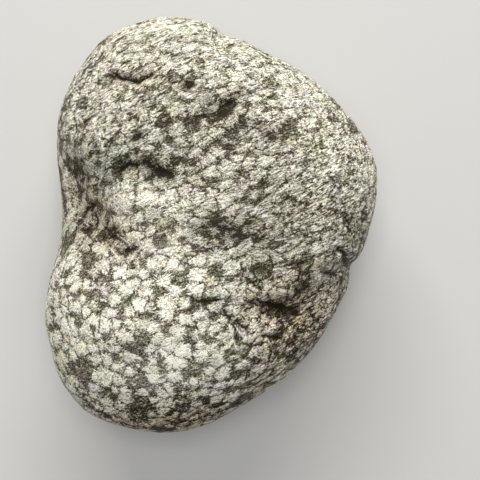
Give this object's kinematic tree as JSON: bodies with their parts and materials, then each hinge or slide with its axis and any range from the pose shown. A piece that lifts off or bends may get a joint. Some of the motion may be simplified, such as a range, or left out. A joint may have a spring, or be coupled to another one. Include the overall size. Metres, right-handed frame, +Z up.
{
  "type": "snowflake obsidian pebble",
  "caption": "Kidney-shaped water-worn pebble of snowflake obsidian, matt grey-black with pale flakes, lying on its flattest side.",
  "frame": {"origin": "on the resting face, under the middle of the stone", "axes": "+Y along the stone's length, towards the narrower end; +Z up out of the resting face, through the broad face; +X across the stone, away from the waist"},
  "size_m": [0.0436, 0.0544, 0.0267],
  "materials": {
    "stone": "matt water-worn skin, dark grey-black glass crowded with pale cream-grey flakes"
  },
  "bodies": {
    "root": {"stone": "stone"}
  },
  "joints": []
}
